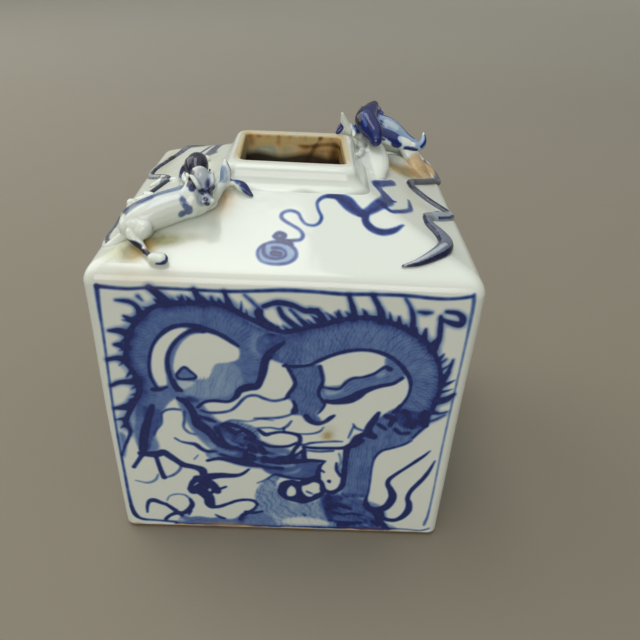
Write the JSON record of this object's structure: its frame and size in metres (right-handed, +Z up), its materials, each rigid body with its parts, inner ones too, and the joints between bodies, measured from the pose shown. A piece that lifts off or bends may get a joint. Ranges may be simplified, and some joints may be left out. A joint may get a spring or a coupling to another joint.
{
  "type": "calligraphy water pot",
  "caption": "Square slab-built porcelain water pot with sloping shoulders, a small square mouth and two applied chi-dragons, for water used in brush calligraphy.",
  "frame": {"origin": "centre of the foot, on the surface the pot stands on", "axes": "+Z up through the mouth, +X to the right and +Y away from someone facing the painted front"},
  "size_m": [0.085, 0.085, 0.0987],
  "materials": {
    "biscuit": "bare fired foot, matt, iron-tinted where the glaze stops",
    "painted_glaze": "clear gloss glaze over cobalt painting on white porcelain",
    "white_glaze": "glossy greenish white glaze, tan stains at the mouth",
    "dragon_glaze": "glossy glaze pooled in the modelling, with cobalt touches",
    "cobalt_glaze": "glossy glaze over dense cobalt blue"
  },
  "bodies": {
    "root": {"base_slab": "biscuit", "front_wall": "painted_glaze", "right_wall": "painted_glaze", "back_wall": "painted_glaze", "left_wall": "painted_glaze", "front_shoulder": "white_glaze", "right_shoulder": "white_glaze", "back_shoulder": "white_glaze", "left_shoulder": "white_glaze", "mouth_collar": "white_glaze", "left_dragon_trunk": "dragon_glaze", "left_dragon_head": "dragon_glaze", "left_dragon_mane": "cobalt_glaze", "left_dragon_foreleg_inner": "dragon_glaze", "left_dragon_foreleg_outer": "dragon_glaze", "left_dragon_hindleg_inner": "dragon_glaze", "left_dragon_hindleg_outer": "dragon_glaze", "left_dragon_tail": "cobalt_glaze", "left_dragon_tail_tip": "cobalt_glaze", "right_dragon_trunk": "dragon_glaze", "right_dragon_head": "dragon_glaze", "right_dragon_mane": "cobalt_glaze", "right_dragon_foreleg_inner": "dragon_glaze", "right_dragon_foreleg_outer": "dragon_glaze", "right_dragon_hindleg_inner": "dragon_glaze", "right_dragon_hindleg_outer": "dragon_glaze", "right_dragon_tail": "cobalt_glaze", "right_dragon_tail_tip": "cobalt_glaze"}
  },
  "joints": []
}
